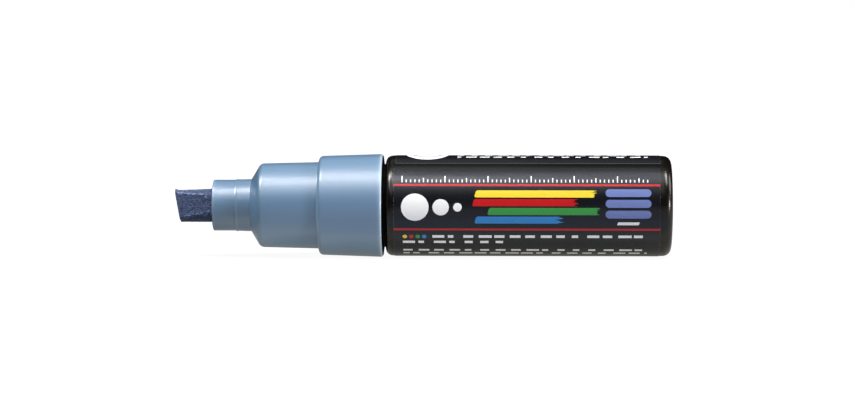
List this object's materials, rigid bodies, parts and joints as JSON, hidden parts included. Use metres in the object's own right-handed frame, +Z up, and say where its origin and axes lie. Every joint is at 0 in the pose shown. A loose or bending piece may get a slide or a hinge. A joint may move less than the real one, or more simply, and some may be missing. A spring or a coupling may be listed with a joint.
{
  "type": "paint marker",
  "caption": "Valve-action paint marker with a slanted felt chisel nib, a stepped slate-blue front section and a black paint tank with a wrapped film label, uncapped.",
  "frame": {"origin": "on the surface that the marker lies on, under the middle of its length", "axes": "+X along the marker from the nib to the rear end, +Z up, the label's printed front towards -Y"},
  "size_m": [0.1168, 0.0242, 0.0242],
  "materials": {
    "front_plastic": "satin moulded slate blue",
    "barrel_plastic": "glossy warm black",
    "label_film": "satin printed black film",
    "nib_felt": "paint-soaked felt",
    "valve_plastic": "natural white",
    "stem_plastic": "pale grey acetal",
    "seal_rubber": "matte",
    "spring_steel": "drawn wire",
    "ball_steel": "polished"
  },
  "bodies": {
    "marker_body": {"front_section": "front_plastic", "barrel": "barrel_plastic", "label": "label_film", "valve_body": "valve_plastic", "neck_gasket": "seal_rubber", "valve_spring": "spring_steel", "spring_retainer": "valve_plastic"},
    "stem": {"valve_stem": "stem_plastic", "stem_seal": "seal_rubber"},
    "nib": {"nib": "nib_felt"},
    "ball": {"mixing_ball": "ball_steel"}
  },
  "joints": [
    {"name": "valve_press", "type": "slide", "parent": "marker_body", "child": "stem", "axis": [1, 0, 0], "range_m": [0, 0.002], "stiffness_N_per_m": 1000, "springref_m": -0.0015, "deforming": ["valve_spring"]},
    {"name": "nib_pull", "type": "slide", "parent": "stem", "child": "nib", "axis": [-1, 0, 0], "range_m": [0, 0.026]},
    {"name": "ball_roll", "type": "slide", "parent": "marker_body", "child": "ball", "axis": [1, 0, 0], "range_m": [-0.029, 0.0235]}
  ]
}
